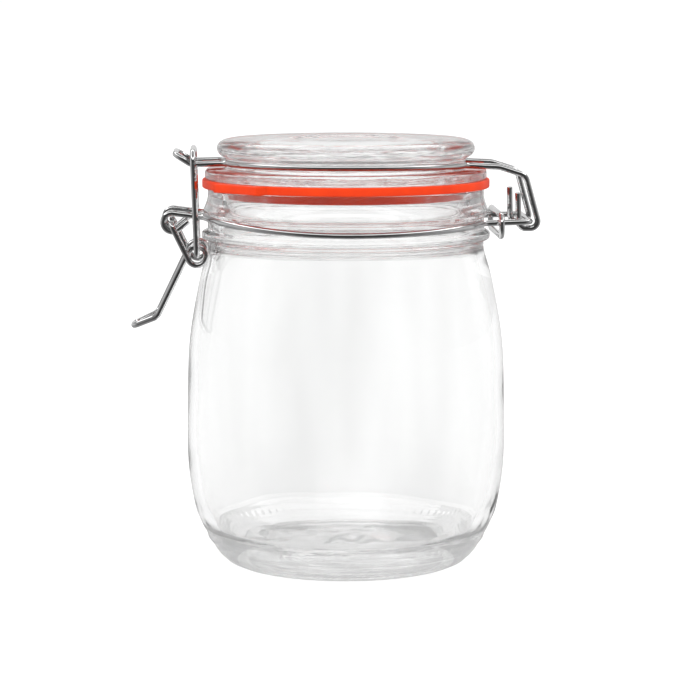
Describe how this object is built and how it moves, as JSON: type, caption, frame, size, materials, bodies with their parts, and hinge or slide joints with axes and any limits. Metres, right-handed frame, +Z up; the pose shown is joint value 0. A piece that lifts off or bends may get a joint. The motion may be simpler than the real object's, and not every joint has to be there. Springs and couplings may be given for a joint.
{
  "type": "bail clamp jar",
  "caption": "Glass storage jar with a hinged glass lid, a rubber gasket and a bent-wire bail clamp.",
  "frame": {"origin": "the jar's axis, in the plane that it stands on; the recessed flat panel under the jar is 0.9 mm above it", "axes": "+Z up along the jar's axis, +X towards the hinge and -X towards the latch, +Y along the hinge axis"},
  "size_m": [0.137, 0.1078, 0.144],
  "materials": {
    "glass": "clear gloss",
    "rubber": "satin",
    "steel": "polished wire"
  },
  "bodies": {
    "jar": {"glass_jar": "glass", "neck_wire": "steel", "closing_ring": "steel"},
    "lid": {"glass_lid": "glass", "rubber_gasket": "rubber", "lid_wire": "steel"},
    "lever": {"lever": "steel"},
    "link": {"link": "steel"}
  },
  "joints": [
    {"name": "lid_hinge", "type": "hinge", "parent": "jar", "child": "lid", "pos_m": [0.0608, 0, 0.1169], "axis": [0, 1, 0], "range_deg": [0, 205]},
    {"name": "lever_pivot", "type": "hinge", "parent": "jar", "child": "lever", "pos_m": [-0.0587, 0, 0.1161], "axis": [0, 1, 0], "range_deg": [0, 130]},
    {"name": "link_pivot", "type": "hinge", "parent": "lever", "child": "link", "pos_m": [-0.0501, 0, 0.1055], "axis": [0, -1, 0], "range_deg": [0, 260]}
  ],
  "couplings": [
    {"joint": "link_pivot", "follows": "lever_pivot", "ratio": 2}
  ]
}
